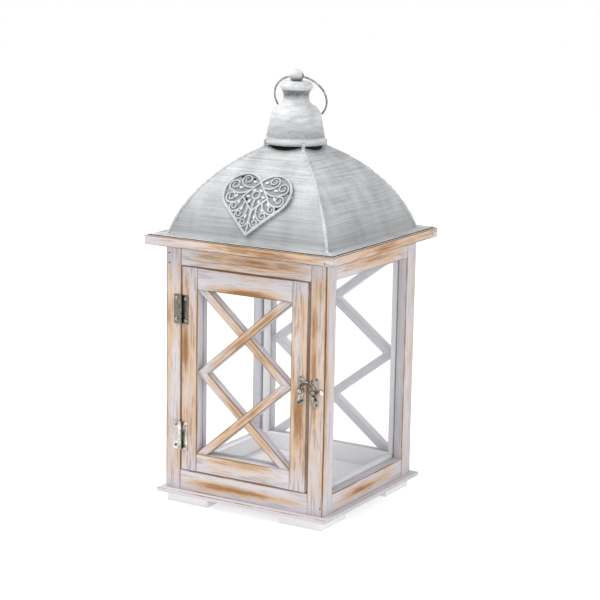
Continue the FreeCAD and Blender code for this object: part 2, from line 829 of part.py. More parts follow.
def heart_ornament():
    """Pattern bent to the front panel and carried off it by four cast pins."""
    out = roof_arc_radius + heart_standoff
    tip_angle = math.asin((roof_base_z + heart_tip_rise - arc_z) / out)
    mid_angle = tip_angle + heart_height / 2 / out
    lobe_pin = (heart_lobe_x + heart_lobe_radius - heart_rim / 2, heart_lobe_y)
    places = [(0, heart_rim), (0, FRAME_TOP * heart_height), lobe_pin, (-lobe_pin[0], lobe_pin[1])]
    pins = Part.makeCompound([round_piece(vec(*place), heart_pin_radius) for place in places])
    pattern = heart_pattern()
    for shape in (pattern, pins):
        shape.translate(vec(0, -heart_height / 2, out))
        shape.rotate(vec(0, 0), vec(1, 0, 0), 90 - math.degrees(mid_angle))
        shape.translate(vec(0, -arc_s, arc_z))
    bent = pattern.common(roof_band(mid_angle, out, out + heart_thickness))
    pin_room = roof_band(mid_angle, roof_arc_radius - sheet, out + heart_thickness / 2)
    under_panel = rod(roof_arc_radius, vec(-heart_width, -arc_s, arc_z), vec(1, 0, 0), 2 * heart_width)
    pin_room = pin_room.cut(under_panel)
    return bent.fuse(pins.common(pin_room)).removeSplitter()


# Build and export

for node, piece in {**case_frames(), **feet(), **door_members()}.items():
    save(node, piece)
save("base_plate", block(-base_half, base_half, -base_half, base_half, foot_height, case_z))
save("floor_board", block(-inner, inner, -inner, inner, case_z, floor_z))
save("left_pane", side_pane(3))
save("right_pane", side_pane(1))
save("back_pane", back_pane())
for node, beads in glazing_beads().items():
    save(node, *beads)
back_bars = lattice(-front_open, front_open, front_open_low, front_open_high, front_face, 2)
save("back_lattice_rising", *back_bars[0])
save("back_lattice_falling", *back_bars[1])

save("door_pane", door_pane())
save("door_glazing_beads", *door_beads())
door_bars = lattice(door_open_left, door_open_right, door_open_low, door_open_high,
                    front_face + lattice_recess, 0)
save("door_lattice_rising", *door_bars[0])
save("door_lattice_falling", *door_bars[1])

save("hinge_case_leaves", *[hinge_leaf(level, -1) for level in hinge_levels])
save("hinge_door_leaves", *[hinge_leaf(level, 1) for level in hinge_levels])
save("hinge_pins", *[hinge_pin(level) for level in hinge_levels])
save("strike_plate", strike_plate())
save("latch_plate", latch_plate())
save("latch_hook", latch_hook())

panel = roof_panel()
for face, (quarters, *_) in FACES.items():
    save("eave_" + face, eave_strip(quarters))
    save("roof_" + face, quarter_turned(panel, quarters))
save("chimney_cap", chimney_cap())
save("cap_tabs", *cap_tabs())
save("knob", knob())
save("carry_ring", carry_ring())
save("heart_ornament", heart_ornament())
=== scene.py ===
import bpy
import bmesh
import json
import math
from mathutils import Matrix, Vector, noise


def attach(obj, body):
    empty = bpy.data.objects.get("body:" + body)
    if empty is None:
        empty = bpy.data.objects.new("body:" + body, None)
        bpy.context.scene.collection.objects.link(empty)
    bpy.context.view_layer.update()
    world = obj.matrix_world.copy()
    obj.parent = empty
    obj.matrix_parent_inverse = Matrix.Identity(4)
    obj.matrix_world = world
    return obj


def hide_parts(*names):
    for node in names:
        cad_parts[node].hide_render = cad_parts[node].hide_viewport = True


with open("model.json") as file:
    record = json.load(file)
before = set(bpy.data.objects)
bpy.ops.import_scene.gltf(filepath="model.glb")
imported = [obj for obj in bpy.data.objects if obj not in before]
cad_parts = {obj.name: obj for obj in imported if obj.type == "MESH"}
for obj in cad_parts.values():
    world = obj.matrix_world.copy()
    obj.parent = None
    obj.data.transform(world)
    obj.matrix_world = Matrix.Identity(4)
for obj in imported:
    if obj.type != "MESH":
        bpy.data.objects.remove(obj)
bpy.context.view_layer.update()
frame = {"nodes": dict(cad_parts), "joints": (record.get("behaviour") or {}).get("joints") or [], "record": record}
scene = bpy.context.scene
MM = 0.001

# Bodies, material slots, nodes and the ring's joint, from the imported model
RECORD = frame["record"]
BODY_OF = {node: body for body, nodes in RECORD["behaviour"]["bodies"].items() for node in nodes}
SLOT_OF = {part["node"]: part["material_slot"] for part in RECORD["subparts"]}
WOOD_NODES = [node for node, slot in SLOT_OF.items() if slot == "whitewashed_wood"]
PANE_NODES = [node for node, slot in SLOT_OF.items() if slot == "clear_glass"]
ROOF_NODES = [node for node in SLOT_OF if node.startswith("roof_")]
HINGE_NODES = ["hinge_case_leaves", "hinge_door_leaves", "hinge_pins"]
RING_JOINT = next(joint for joint in frame["joints"] if joint["name"] == "ring_swing")

# Camera, fitted to the photograph: millimetres, degrees and pixels of the 600 pixel frame
VIEW_TARGET = Vector((8.778, 0, 212.157))
VIEW_AZIMUTH = 30.519
VIEW_ELEVATION = 11.719
VIEW_ROLL = 1.038
VIEW_DISTANCE = 1970.7
VIEW_FOCAL_PIXELS = 1880.5
VIEW_FRAME_PIXELS = 600
SENSOR = 36.0

# Floor and light: metres, strengths, and for each lamp its place, its width and its watts
FLOOR_HALF_SIZE = 4.0
FLOOR_DROP = 0.0002
FLOOR_GLOW = 0.5
FLOOR_LIGHT = 0.5
WORLD_LIGHT = 0.70
LAMPS = {"top_lamp": ((-1.0, -0.8, 2.3), 1.5, 38), "side_lamp": ((2.3, -0.8, 0.7), 1.4, 12)}

# Copied solids: millimetres within which points are one or on a section, and degrees of a flat face
MERGE = 0.002
SECTION_DEPTH = 0.01
FLAT_ANGLE = 0.5

# Rounded edges, in millimetres, and the angle past which an edge of the hardware is rounded, in degrees
BOARD_EDGE = 0.6
HARDWARE_EDGE = 0.3
HOOK_EDGE = 0.6
HARDWARE_CORNER = 60

# Turned cap, ring and knob: steps in a turn, radii in millimetres, and the lean of the cap's inside
CAP_STEPS = 96
# Faces of the cap leaning inward past this are painted black as shade
CAP_INSIDE_LEAN = -0.2
RING_STEPS = 72
RING_WIRE_STEPS = 12
RING_WIRE_RADIUS = 1.1
# Faces within this radius of the ring's hole are painted dark as shade
KNOB_HOLE_RADIUS = 2.45

# Solder and hems of the roof, in millimetres, with the share and the closeness of the solder's lumps
SEAM_RADIUS = 1.7
SEAM_SINK = 0.9
SEAM_POINTS = 60
SEAM_LUMP_SHARE = 0.5
LUMPS_PER_MM = 0.35
HEM_RADIUS = 0.65
HEM_DROP = 0.45
# The dark line under the hem is painted shadow of the gap beneath the flange: its radius and drop
SHADOW_LINE_RADIUS = 0.6
SHADOW_LINE_DROP = 0.9

# Roof, from the sizes of its solids, in millimetres, and the sides on which its ridges and corners lie
ROOF_ARC_BACK = 47.2
ROOF_ARC_HEIGHT = 244.31
ROOF_ARC_RADIUS = 147.4
ROOF_FOOT = 94.3
ROOF_EDGE = 107.2
CAP_LIP_RADIUS = 32.4
RIDGES = ((1, -1, "front_right"), (1, 1, "back_right"), (-1, 1, "back_left"), (-1, -1, "front_left"))
HEM_CORNERS = ((-1, -1), (1, -1), (1, 1), (-1, 1))

# Heart, from the sizes of its solid, in millimetres, with its point's half angle in radians
HEART_SIZE = Vector((40.0, 69.5))
HEART_LOBE = Vector((17.05, 46.55))
HEART_LOBE_RADIUS = 22.95
HEART_POINT = 0.8325
HEART_TANGENT_HEIGHT = 33.0
HEART_MID_ANGLE = math.radians(31.85)
HEART_GROUND_LIFT = 1.6
# Lift of the black sheet of painted shade under the ground
HEART_SHADE_SHEET_LIFT = 0.3
HEART_SHEET = 0.4
HEART_SHEET_INSET = 1.2
HEART_SHEET_CELLS = 64
LEAF_LENGTH = 6.0
LEAF_HALF_WIDTH = 1.2
LEAF_LIFT = 3.4
LEAF_TAPER = 0.85
LEAF_TAIL = -0.3
LEAF_SHOULDER = 0.4

# Leaves between the scrolls: place across (mirrored) and up, in shares of the heart, and slope in degrees
HEART_LEAVES = [
    (0.18, 0.850, 18), (0.515, 0.735, 5), (0.555, 0.600, -66), (0.43, 0.505, -67), (0.30, 0.410, -70),
    (0.13, 0.293, -78), (0.095, 0.710, -42), (0.215, 0.607, -5), (0.14, 0.530, -58),
]
# Pierced holes in the casting between the scrolls: across and up in millimetres, and radius
HEART_HOLES = [
    (-24, 63.8, 1.7), (-9.6, 61.8, 1.8), (13.6, 57.5, 1.3), (-9.8, 38.6, 1.5), (-5.6, 33.0, 1.3),
    (28, 30.5, 3.2), (15.6, 45.7, 1.5), (37, 50, 1.8), (-35.8, 53.2, 1.6), (-25, 24, 1.6),
    (21, 28.6, 1.4), (-6.6, 19, 1.5), (0, 6, 1.5),
]

# Hinges and plates, in millimetres, the level between the hinges, and the lean that marks a plate's front
HINGE_AXIS = -76.5
HINGE_DIVIDE = 143.0
HINGE_FACE = -95.9
PLATE_FACE = -96.2
PLATE_FRONT_LEAN = -0.95

# Screws: millimetres, shares of the head for its crown, and the turn in radians from one slot to the next
SCREW_RADIUS = 1.8
SCREW_HEIGHT = 0.55
SCREW_SLOT = 0.5
SCREW_STEPS = 24
SCREW_CROWN = 0.72
SCREW_CROWN_LIFT = 0.9
SCREW_TURN = 0.9
HINGE_SCREW_OFFSET = 5.6
HINGE_SCREW_LEVELS = {"lower": (63.2, 85.3), "upper": (197.5, 219.6)}
PLATE_SCREWS = {"door": 68.0, "lantern_case": 84.0}
PLATE_SCREW_LEVELS = (132.6, 154.2)

# Nail heads, in millimetres: place and the axis they are driven along
NAIL_RADIUS = 0.8
NAIL_HEIGHT = 0.3
NAIL_STEPS = 12
NAILS = [
    ((-91.7, -95, 265.8), "Y"), ((-91.6, -95, 255.6), "Y"), ((101.2, -111.4, 277.8), "Y"),
    ((111.4, 99.5, 278.6), "X"), ((92.5, -95, 24.1), "Y"),
]

# Sanding of each board: wear, then a brown zone's strength, and in millimetres its place and half size
BOARDS = {
    "eave_front": (0.26, 0.42, 34, 0, 60, 5), "eave_right": (0.24, 0.30, 0, 0, 90, 5),
    "eave_back": (0.30, 0.4, 0, 0, 90, 5), "eave_left": (0.30, 0.4, 0, 0, 90, 5),
    "front_bottom_rail": (0.16, 0.65, -8, -1, 62, 5), "right_bottom_rail": (0.12, 0.5, -5, 0, 55, 5),
    "back_bottom_rail": (0.12, 0.6, 0, 0, 60, 5), "left_bottom_rail": (0.12, 0.5, 0, 0, 60, 5),
    "front_top_rail": (0.26, 0.45, 20, 0, 55, 5), "right_top_rail": (0.20, 0.35, 0, 0, 60, 6),
    "back_top_rail": (0.26, 0.4, 0, 0, 60, 5), "left_top_rail": (0.26, 0.4, 0, 0, 60, 5),
    "front_left_stile": (0.22, 0.2, 40, 6, 90, 3), "front_right_stile": (0.31, 0.35, 40, 4, 70, 4),
    "right_front_stile": (0.16, 0.45, 10, 7, 110, 3), "right_back_stile": (0.14, 0.15, 0, -5, 100, 4),
    "back_left_stile": (0.22, 0.3, 0, 0, 80, 4), "back_right_stile": (0.22, 0.3, 0, 0, 80, 4),
    "left_front_stile": (0.25, 0.3, 0, 0, 80, 4), "left_back_stile": (0.25, 0.3, 0, 0, 80, 4),
    "door_left_stile": (0.30, 0.58, 24, 5, 26, 4), "door_right_stile": (0.33, 0.48, -30, 0, 30, 6),
    "door_top_rail": (0.16, 0.65, 5, -9, 38, 5), "door_bottom_rail": (0.24, 0.3, 0, 5, 40, 3),
    "door_lattice_rising": (0.28, 0.35, 10, 0, 40, 3), "door_lattice_falling": (0.28, 0.3, 0, 0, 40, 3),
    "door_glazing_beads": (-0.14, 0, 0, 0, 1, 1), "base_plate": (0.02, 0, 0, 0, 1, 1),
}
# Boards that aren't listed are fully painted
PAINTED = (-0.4, 0, 0, 0, 1, 1)

# Choice of a board's outer face: what its size counts whichever way it looks, and what looking up adds
FACING_ANY = 0.05
FACING_UP = 0.01

# Steps that keep the grain of two nodes, and of two boards of one node, apart
NODE_SEED = 11.3
BOARD_SEED = 3.7

# Marks in sawn pine: length and width in millimetres, and detail
PINE_STREAK = (80, 3.5, 4.0)
PINE_PATCH = (48, 12, 4.0)
PINE_SMUDGE = (30, 2.2, 4.0)
# Real fibres are under 0.1 mm wide, too fine to show, so they are drawn coarser
PINE_FIBRE = (32, 0.7, 5.0)

# Whitewash and wood, dark and light of each, and the colours laid over them
WHITEWASH = ("#B6B2BB", "#E6E2E3")
TAN_WOOD = ("#B6926F", "#EBD5C0")
BROWN_WOOD = ("#7A5234", "#B58657")
FRESH_WHITEWASH = "#F9F7F7"
SANDED_EDGE = "#583A26"
GRAIN_DIRT = "#876449"

# How boards are sanded: millimetres from an edge, an end or the outer face, half sizes of a zone, and shares
EDGE_WEAR_REACH = 2.2
EDGE_WEAR = 0.22
END_PAINT_REACH = 30
END_WEAR = 0.3
OUTER_FACE_DEPTH = (1.5, 4.5)
INNER_WEAR = -0.3
ZONE_REACH = 1.7
PATCH_SHARE = 0.85
STREAK_SHARE = 0.6
FIBRE_SHARE = 0.70
BARE_FROM_TO = (1.18, 1.50)
BROWN_FROM_TO = (1.45, 1.86)
FRESH_FROM_TO = (-0.4, -0.1)
FRESH_SHARE = 0.85
EDGE_LINE_FROM_TO = (0.3, 1.0)
EDGE_LINE_SHARE = 0.85
DIRT_FROM_TO = (0.36, 0.52)
DIRT_SHARE = 0.55
DIRT_FULL_WEAR = 0.3

# Paint on steel: smears, flecks and the insets from the cap's lip of the black shade painted under the cap, in
# millimetres, and shares
SMEAR_WIDTH = 26
SMEAR_LENGTH = 110
STROKE_ROUGHNESS = 0.6
SMEAR_ROUGHNESS = 0.5
FLECK_SIZE = 2.5
FLECK_SHARE = 0.35
BRUSHED_FROM_TO = (0.85, 1.5)
# Colours of the grime and painted shade laid on by height, and of the black shade painted under the cap
SHADE_AND_GRIME = "#5E6163"
UNDER_CAP_SHADE = "#2A2A2B"
UNDER_CAP_SHADE_INSETS = (5.6, 4.6)
UNDER_CAP_SHADE_SHARE = 0.94

# Clouds of tarnish on metal, and the film on glass: shares, and the film's size in millimetres
TARNISH_FROM_TO = (0.3, 0.6)
FILM_SIZE = 60
FILM_HAZE = (0.06, 0.11)

# Sockets of the Mix node when it mixes colours
SHARE, FIRST, SECOND, MIXED = 0, 6, 7, 2


# Materials

def linear(code):
    """Linear colour of an sRGB hex value."""
    parts = [int(code[place:place + 2], 16) / 255 for place in (1, 3, 5)]
    return [part / 12.92 if part <= 0.04045 else ((part + 0.055) / 1.055) ** 2.4 for part in parts] + [1.0]


def add(tree, kind, inputs, **settings):
    """Adds a node; an input's value is a number, a colour or the socket that feeds it."""
    node = tree.nodes.new("ShaderNode" + kind)
    for name, value in settings.items():
        setattr(node, name, value)
    for key, value in inputs.items():
        if isinstance(value, bpy.types.NodeSocket):
            tree.links.new(value, node.inputs[key])
        else:
            node.inputs[key].default_value = value
    return node


def new_material(name):
    """A material with its node tree and its shader."""
    material = bpy.data.materials.new(name)
    material.use_nodes = True
    tree = material.node_tree
    return material, tree, tree.nodes["Principled BSDF"]


def whitewashed_pine():
    """Sawn pine under a thin whitewash, sanded back: dull lilac-white with tan and brown along the grain."""
    material, tree, shader = new_material("whitewashed_pine")
    board, half, zone = [add(tree, "Attribute", {}, attribute_name=name).outputs["Vector"]
                         for name in ("board", "board_half", "board_zone")]
    wear, seed = [add(tree, "Attribute", {}, attribute_name=name).outputs["Fac"]
                  for name in ("board_wear", "board_seed")]

    # Marks that run along the board
    grain = []
    for length, width, detail in (PINE_FIBRE, PINE_STREAK, PINE_PATCH, PINE_SMUDGE):
        per_metre = (1 / (length * MM), 1 / (width * MM), 1 / (width * MM))
        drawn = add(tree, "VectorMath", {0: board, 1: per_metre}, operation="MULTIPLY").outputs[0]
        marks = {"Vector": drawn, "W": seed, "Scale": 1.0, "Detail": detail, "Roughness": 0.65}
        grain.append(add(tree, "TexNoise", marks, noise_dimensions="4D").outputs["Fac"])
    fibre, streak, patch, smudge = grain

    # Distance from the nearest long edge, and from the ends, where the paint stays
    reach = add(tree, "VectorMath", {0: board}, operation="ABSOLUTE").outputs[0]
    inset = add(tree, "VectorMath", {0: half, 1: reach}, operation="SUBTRACT").outputs[0]
    from_end, from_side, from_face = add(tree, "SeparateXYZ", {0: inset}).outputs
    rim = add(tree, "Math", {0: from_side, 1: from_face}, operation="MAXIMUM").outputs[0]
    edge = add(tree, "MapRange", {"Value": rim, "From Max": EDGE_WEAR_REACH * MM, "To Min": EDGE_WEAR,
                                  "To Max": 0.0}, interpolation_type="SMOOTHSTEP").outputs[0]
    ends = add(tree, "MapRange", {"Value": from_end, "From Max": END_PAINT_REACH * MM, "To Min": END_WEAR},
               interpolation_type="SMOOTHSTEP").outputs[0]

    # Only the outer face is sanded; the reveals and the inside stay painted
    below = add(tree, "VectorMath", {0: half, 1: board}, operation="SUBTRACT").outputs[0]
    below = add(tree, "SeparateXYZ", {0: below}).outputs["Z"]
    top, bottom = [depth * MM for depth in OUTER_FACE_DEPTH]
    outer = add(tree, "MapRange", {"Value": below, "From Min": top, "From Max": bottom, "To Min": 1.0,
                                   "To Max": 0.0}).outputs[0]
    inner = add(tree, "MapRange", {"Value": outer, "To Min": INNER_WEAR, "To Max": 0.0}).outputs[0]

    # The brown zone fades out from its middle; its strength is the third part of the attribute
    zone_along, zone_across, strength = add(tree, "SeparateXYZ", {0: zone}).outputs
    flat = add(tree, "CombineXYZ", {0: zone_along, 1: zone_across}).outputs[0]
    away = add(tree, "VectorMath", {0: flat}, operation="LENGTH").outputs["Value"]
    browned = add(tree, "MapRange", {"Value": away, "From Max": ZONE_REACH, "To Min": 1.0, "To Max": 0.0},
                  interpolation_type="SMOOTHSTEP").outputs[0]
    browned = add(tree, "Math", {0: browned, 1: strength}, operation="MULTIPLY").outputs[0]

    # Worn boards lose paint in patches, streaks and fibres, and most at their edges
    sanded = add(tree, "Math", {0: browned, 1: outer, 2: inner}, operation="MULTIPLY_ADD").outputs[0]
    for mark, share in ((patch, PATCH_SHARE), (streak, STREAK_SHARE), (fibre, FIBRE_SHARE), (wear, ends)):
        sanded = add(tree, "Math", {0: mark, 1: share, 2: sanded}, operation="MULTIPLY_ADD").outputs[0]
    sanded = add(tree, "Math", {0: sanded, 1: edge}, operation="ADD").outputs[0]
    bare, brown = [add(tree, "MapRange", {"Value": sanded, "From Min": start, "From Max": end},
                       interpolation_type="SMOOTHSTEP").outputs[0]
                   for start, end in (BARE_FROM_TO, BROWN_FROM_TO)]

    # Fresh paint on boards with little wear, and a thin dark line on sanded edges
    start, end = FRESH_FROM_TO
    fresh = add(tree, "MapRange", {"Value": wear, "From Min": start, "From Max": end, "To Min": FRESH_SHARE,
                                   "To Max": 0.0}).outputs[0]
    start, end = [depth * MM for depth in EDGE_LINE_FROM_TO]
    line = add(tree, "MapRange", {"Value": rim, "From Min": start, "From Max": end,
                                  "To Min": EDGE_LINE_SHARE, "To Max": 0.0}).outputs[0]
    line = add(tree, "Math", {0: line, 1: bare}, operation="MULTIPLY").outputs[0]

    # Grey-brown smudges of dirt in the grain of the sanded faces
    start, end = DIRT_FROM_TO
    dirt = add(tree, "MapRange", {"Value": smudge, "From Min": start, "From Max": end, "To Min": DIRT_SHARE,
                                  "To Max": 0.0}, interpolation_type="SMOOTHSTEP").outputs[0]
    worn = add(tree, "MapRange", {"Value": wear, "From Max": DIRT_FULL_WEAR}).outputs[0]
    worn = add(tree, "Math", {0: worn, 1: outer}, operation="MULTIPLY").outputs[0]
    dirt = add(tree, "Math", {0: dirt, 1: worn}, operation="MULTIPLY").outputs[0]

    # Colour of each layer with its grain, laid one over the other
    tones = []
    for mark, (dark, light) in ((streak, WHITEWASH), (fibre, TAN_WOOD), (fibre, BROWN_WOOD)):
        tones.append(add(tree, "Mix", {SHARE: mark, FIRST: linear(dark), SECOND: linear(light)},
                         data_type="RGBA").outputs[MIXED])
    colour, tan_wood, brown_wood = tones
    for share, tone in ((fresh, linear(FRESH_WHITEWASH)), (bare, tan_wood), (brown, brown_wood),
                        (line, linear(SANDED_EDGE)), (dirt, linear(GRAIN_DIRT))):
        colour = add(tree, "Mix", {SHARE: share, FIRST: colour, SECOND: tone},
                     data_type="RGBA").outputs[MIXED]
    bump = add(tree, "Bump", {"Height": fibre, "Strength": 0.3, "Distance": 0.25 * MM})
    tree.links.new(colour, shader.inputs["Base Color"])
    tree.links.new(bump.outputs[0], shader.inputs["Normal"])
    shader.inputs["Roughness"].default_value = 0.72
    shader.inputs["Specular IOR Level"].default_value = 0.3
    return material


def dry_brushed_steel(name, dark, light, shade_and_grime, stroke=(75, 1.1), roughness=0.5, shaded_under_cap=False):
    """Steel under grey-white paint laid on with a nearly dry brush: level streaks, upright smears, and grime and
    painted shade.

    The list of heights in millimetres gives the share of darkening at each, grime and painted shade alike; stroke
    is the length and width of the brush marks in millimetres; a sheet shaded under the cap is painted black there
    as shade.
    """
    material, tree, shader = new_material(name)
    place = add(tree, "TexCoord", {}).outputs["Object"]

    # Brush marks round the roof, smears that run down it, and flecks
    brushed = []
    for level, upright, uneven in ((*stroke, STROKE_ROUGHNESS),
                                   (SMEAR_WIDTH, SMEAR_LENGTH, SMEAR_ROUGHNESS)):
        per_metre = (1 / (level * MM), 1 / (level * MM), 1 / (upright * MM))
        drawn = add(tree, "VectorMath", {0: place, 1: per_metre}, operation="MULTIPLY").outputs[0]
        marks = {"Vector": drawn, "Scale": 1.0, "Detail": 3.0, "Roughness": uneven}
        brushed.append(add(tree, "TexNoise", marks).outputs["Fac"])
    streak, smear = brushed
    fleck = add(tree, "TexNoise", {"Vector": place, "Scale": 1 / (FLECK_SIZE * MM),
                                   "Detail": 2.0}).outputs["Fac"]
    cover = add(tree, "Math", {0: smear, 1: streak}, operation="ADD").outputs[0]
    cover = add(tree, "Math", {0: fleck, 1: FLECK_SHARE, 2: cover}, operation="MULTIPLY_ADD").outputs[0]
    start, end = BRUSHED_FROM_TO
    cover = add(tree, "MapRange", {"Value": cover, "From Min": start, "From Max": end}).outputs[0]
    colour = add(tree, "Mix", {SHARE: cover, FIRST: linear(dark), SECOND: linear(light)},
                 data_type="RGBA").outputs[MIXED]

    # Grime and painted shade by height, broken up by the smears and flecks
    axes = add(tree, "SeparateXYZ", {0: place}).outputs
    low, high = shade_and_grime[0][0], shade_and_grime[-1][0]
    climb = add(tree, "MapRange", {"Value": axes["Z"], "From Min": low * MM,
                                   "From Max": high * MM}).outputs[0]
    ramp = add(tree, "ValToRGB", {0: climb})
    stops = ramp.color_ramp.elements
    stops.remove(stops[1])
    stops[0].color = (shade_and_grime[0][1],) * 3 + (1,)
    for height, amount in shade_and_grime[1:]:
        stops.new((height - low) / (high - low)).color = (amount,) * 3 + (1,)
    darkening = add(tree, "Math", {0: smear, 1: fleck}, operation="ADD").outputs[0]
    darkening = add(tree, "Math", {0: ramp.outputs["Color"], 1: darkening}, operation="MULTIPLY",
                 use_clamp=True).outputs[0]
    colour = add(tree, "Mix", {SHARE: darkening, FIRST: colour, SECOND: linear(SHADE_AND_GRIME)},
                 data_type="RGBA").outputs[MIXED]
    # Painted shade: the roof goes black under the cap's lip, where the gap round the vent lies in shadow
    if shaded_under_cap:
        plan = add(tree, "CombineXYZ", {0: axes["X"], 1: axes["Y"]}).outputs[0]
        out = add(tree, "VectorMath", {0: plan}, operation="LENGTH").outputs["Value"]
        inner, outer = [(CAP_LIP_RADIUS - inset) * MM for inset in UNDER_CAP_SHADE_INSETS]
        under_cap_shade = add(tree, "MapRange", {"Value": out, "From Min": inner, "From Max": outer,
                                      "To Min": UNDER_CAP_SHADE_SHARE, "To Max": 0.0}).outputs[0]
        colour = add(tree, "Mix", {SHARE: under_cap_shade, FIRST: colour, SECOND: linear(UNDER_CAP_SHADE)},
                     data_type="RGBA").outputs[MIXED]
    bump = add(tree, "Bump", {"Height": cover, "Strength": 0.2, "Distance": 0.2 * MM})
    tree.links.new(colour, shader.inputs["Base Color"])
    tree.links.new(bump.outputs[0], shader.inputs["Normal"])
    shader.inputs["Roughness"].default_value = roughness
    shader.inputs["Specular IOR Level"].default_value = 0.5
    return material


def plated_metal(name, tarnish, bright, roughness, cloud_size):
    """Plated or bare metal: a soft mirror with darker tarnish in small clouds, their size in millimetres."""
    material, tree, shader = new_material(name)
    place = add(tree, "TexCoord", {}).outputs["Object"]
    cloud = add(tree, "TexNoise", {"Vector": place, "Scale": 1 / (cloud_size * MM),
                                   "Detail": 2.0}).outputs["Fac"]
    start, end = TARNISH_FROM_TO
    cover = add(tree, "MapRange", {"Value": cloud, "From Min": start, "From Max": end}).outputs[0]
    colour = add(tree, "Mix", {SHARE: cover, FIRST: linear(tarnish), SECOND: linear(bright)},
                 data_type="RGBA").outputs[MIXED]
    tree.links.new(colour, shader.inputs["Base Color"])
    bump = add(tree, "Bump", {"Height": cloud, "Strength": 0.15, "Distance": 0.1 * MM})
    tree.links.new(bump.outputs[0], shader.inputs["Normal"])
    shader.inputs["Metallic"].default_value = 1.0
    shader.inputs["Roughness"].default_value = roughness
    return material


def clear_glass():
    """Thin clear float glass: almost all light passes, with a faint cold film."""
    material, tree, shader = new_material("clear_float_glass")
    place = add(tree, "TexCoord", {}).outputs["Object"]
    film = add(tree, "TexNoise", {"Vector": place, "Scale": 1 / (FILM_SIZE * MM),
                                  "Detail": 1.0}).outputs["Fac"]
    least, most = FILM_HAZE
    haze = add(tree, "MapRange", {"Value": film, "To Min": least, "To Max": most}).outputs[0]
    tree.links.new(haze, shader.inputs["Alpha"])
    shader.inputs["Base Color"].default_value = linear("#D3DCE4")
    shader.inputs["Roughness"].default_value = 0.03
    shader.inputs["IOR"].default_value = 1.52
    return material


WOOD = whitewashed_pine()
# Sheet steel of the roof: grey with soft pale streaks, darker above the flange, and painted black under the cap as
# shade
ROOF_PAINT = dry_brushed_steel(
    "dry_brushed_sheet_steel", "#959799", "#D6D8D9",
    [(284, 0.28), (292, 0.40), (312, 0.20), (345, 0.04), (378, 0.0)], shaded_under_cap=True)
# Spun steel of the cap: paler and glossier, darker on its lip and over its step, with painted shade round its neck
CAP_PAINT = dry_brushed_steel(
    "dry_brushed_spun_steel", "#B2B4B6", "#F0F1F2",
    [(376.7, 0.7), (378.5, 0.45), (381, 0.2), (382.5, 0.12), (384.5, 0.6), (392, 0.45), (402, 0.14),
     (416, 0.06), (421, 0.15), (424, 0.45), (427, 0.95), (430, 0.9), (431.5, 1.0), (432.5, 0.25),
     (434, 0.05), (440.7, 0.0)],
    stroke=(16, 3), roughness=0.34)
# Turned knob under the same paint: nearly white on top, with painted shade darkening it towards its shank
KNOB_PAINT = dry_brushed_steel(
    "dry_brushed_knob", "#C4C6C7", "#F0F1F1",
    [(438, 1.0), (442.5, 0.85), (446.5, 0.25), (450, 0.05), (453.4, 0.0)], stroke=(6, 3), roughness=0.34)
# Solder under paint: short blotches of grey and white
SEAM_PAINT = dry_brushed_steel(
    "painted_solder", "#A9ACAE", "#EDEEEF", [(284, 0.1), (380, 0.25)], stroke=(5, 3))
# Cast heart under paint: mid grey scrolls
HEART_PAINT = dry_brushed_steel(
    "dry_brushed_casting", "#A6A8A9", "#DADBDC", [(290, 0.1), (352, 0.1)], stroke=(6, 3))
# Leaves of the casting, where the brush caught: pale
LEAF_PAINT = dry_brushed_steel(
    "dry_brushed_leaves", "#C9CBCC", "#ECEDED", [(290, 0), (352, 0)], stroke=(6, 3))
# Ground of the casting between the scrolls: darker grey
GROUND_PAINT = dry_brushed_steel(
    "casting_ground", "#7C7E7F", "#B2B4B5", [(290, 0.35), (352, 0.35)], stroke=(6, 3))
# Nickel plate gone dull, on the upper hinge: a soft grey sheen
DARK_NICKEL = plated_metal("darkened_nickel_plate", "#57554E", "#7D7A6F", 0.36, 3)
# Nickel plate that kept its shine, on the lower hinge: pale with wide faint clouds
BRIGHT_NICKEL = plated_metal("bright_nickel_plate", "#938E86", "#D3CFC8", 0.25, 9)
# Antiqued nickel plate, on the latch's plates and the screws: brown-black with bright spots
ANTIQUE_NICKEL = plated_metal("antique_nickel_plate", "#2F2A23", "#A8A297", 0.26, 3.5)
# Nickel rubbed by use, on the edges of the hook: almost a mirror
POLISHED_NICKEL = plated_metal("polished_nickel_edge", "#8F897E", "#F2EFE6", 0.2, 3)
# Nickel worn at the edges of the plates: paler than their faces
WORN_NICKEL = plated_metal("worn_nickel_plate", "#6B655A", "#CDC8BE", 0.25, 4)
# Tarnished nickel, on the face of the hook: nearly black with a dull sheen
TARNISHED_NICKEL = plated_metal("tarnished_nickel_plate", "#2F2B24", "#6F685B", 0.34, 5)
# Steel wire of the ring: satin grey
STEEL = plated_metal("satin_steel", "#6F7174", "#A9AAAC", 0.36, 5)
# Iron of the nails, also used as painted shade where a hollow or gap should look black
IRON_AND_SHADE = plated_metal("dark_iron_and_shade", "#1C1917", "#3A332D", 0.5, 2)
GLASS = clear_glass()


# Making pieces

def closed_solids(bm):
    """Faces of each solid: in the node's order, a solid ends where each edge has met its opposite."""
    same_place = bmesh.ops.find_doubles(bm, verts=bm.verts, dist=MERGE * MM)["targetmap"]
    solids, solid, unmatched = [], [], set()
    for face in bm.faces:
        solid.append(face)
        corners = [same_place.get(vert, vert) for vert in face.verts]
        for edge in zip(corners, corners[1:] + corners[:1]):
            if edge[::-1] in unmatched:
                unmatched.remove(edge[::-1])
            else:
                unmatched.add(edge)
        if not unmatched:
            solids.append(solid)
            solid = []
    return solids + [solid] if solid else solids


